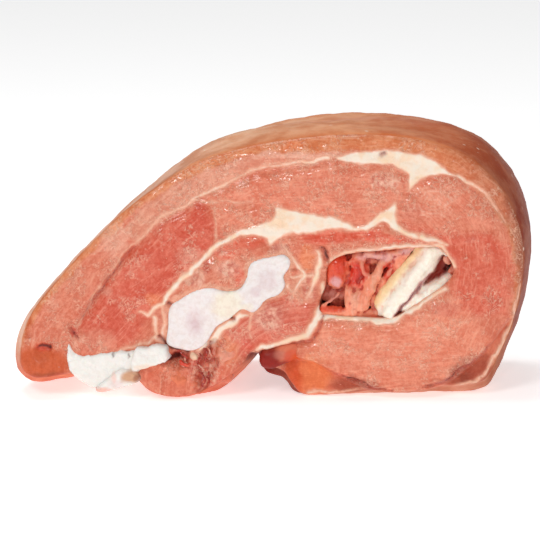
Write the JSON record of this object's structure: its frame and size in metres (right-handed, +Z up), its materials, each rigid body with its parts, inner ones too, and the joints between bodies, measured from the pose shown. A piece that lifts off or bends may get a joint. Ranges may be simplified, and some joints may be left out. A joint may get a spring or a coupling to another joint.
{
  "type": "raw veal tendron",
  "caption": "Thick raw slab cut across a veal breast and folded over on itself, with rib cartilage, seam fat and a deep fold, lying on its flat underside.",
  "frame": {"origin": "middle of the bounding box's bottom, on the surface that the piece lies on", "axes": "+X along the cut's length, from the breast's thin tip to the folded flank; +Y from the shown cut through to the back; +Z up"},
  "size_m": [0.2648, 0.0882, 0.1369],
  "materials": {
    "muscle": "moist, fine grained, salmon red",
    "fat": "waxy, creamy white",
    "cartilage": "moist, bluish white",
    "bone": "chalky white",
    "membrane": "wet, pink to blood red"
  },
  "bodies": {
    "root": {"meat": "muscle", "rib_cartilage": "cartilage", "breastbone": "bone", "upper_seam_fat": "fat", "middle_seam_fat": "fat", "fold_fat": "fat", "fold_membrane": "membrane"}
  },
  "joints": []
}
